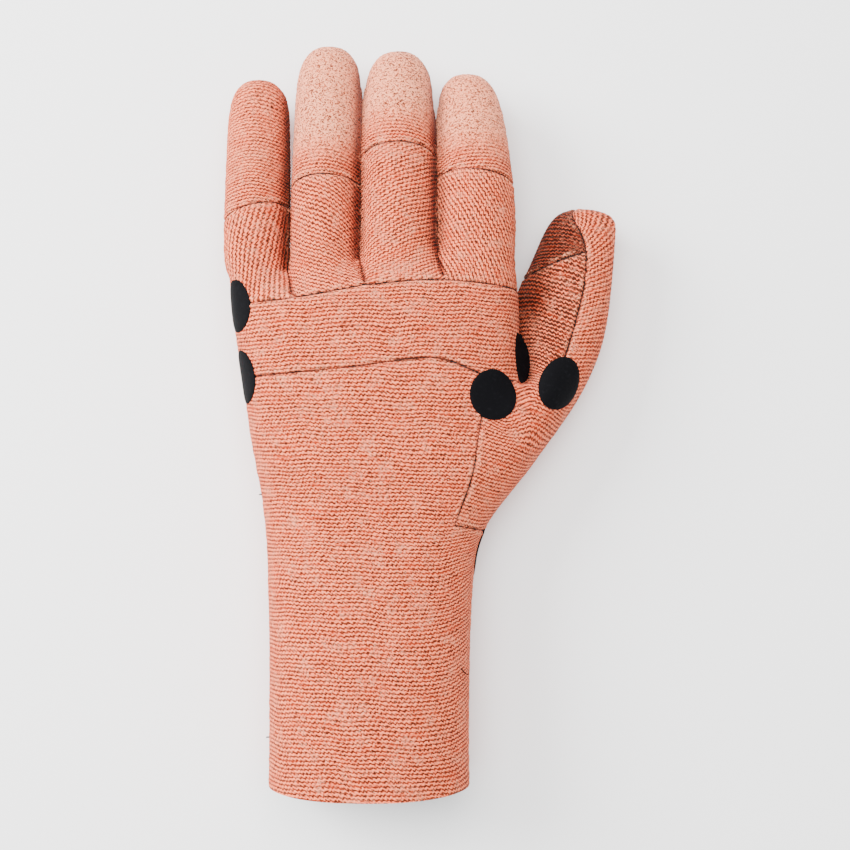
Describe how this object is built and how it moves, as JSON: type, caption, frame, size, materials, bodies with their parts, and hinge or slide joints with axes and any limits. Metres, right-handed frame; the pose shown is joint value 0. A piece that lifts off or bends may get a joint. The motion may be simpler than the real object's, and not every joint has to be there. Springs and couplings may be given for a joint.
{
  "type": "diving glove",
  "caption": "Five-finger neoprene diving glove for the left hand, long flared cuff, knit face, sewn panels and round seam patches.",
  "frame": {"origin": "middle of the bounding box, on the surface that the palm side rests on", "axes": "+Y towards the fingertips, +X towards the thumb, +Z out of the back of the hand"},
  "size_m": [0.1551, 0.2924, 0.0559],
  "materials": {
    "knit_faced_neoprene": "knitted plush face on foam rubber",
    "patch_tape": "smooth woven tape"
  },
  "bodies": {
    "root": {"back_cuff": "knit_faced_neoprene", "palm": "knit_faced_neoprene", "knuckle_band": "knit_faced_neoprene", "little_knuckle": "knit_faced_neoprene", "little_tip": "knit_faced_neoprene", "little_palm_side": "knit_faced_neoprene", "ring_knuckle": "knit_faced_neoprene", "ring_tip": "knit_faced_neoprene", "ring_palm_side": "knit_faced_neoprene", "middle_knuckle": "knit_faced_neoprene", "middle_tip": "knit_faced_neoprene", "middle_palm_side": "knit_faced_neoprene", "index_knuckle": "knit_faced_neoprene", "index_tip": "knit_faced_neoprene", "index_palm_side": "knit_faced_neoprene", "thumb_outer": "knit_faced_neoprene", "thumb_inner": "knit_faced_neoprene", "thumb_tip": "knit_faced_neoprene", "patch_knuckle_edge": "patch_tape", "patch_hand_edge": "patch_tape", "patch_thumb_root": "patch_tape", "patch_thumb_crotch": "patch_tape", "patch_thumb_seam": "patch_tape", "patch_wrist_edge": "patch_tape"}
  },
  "joints": []
}
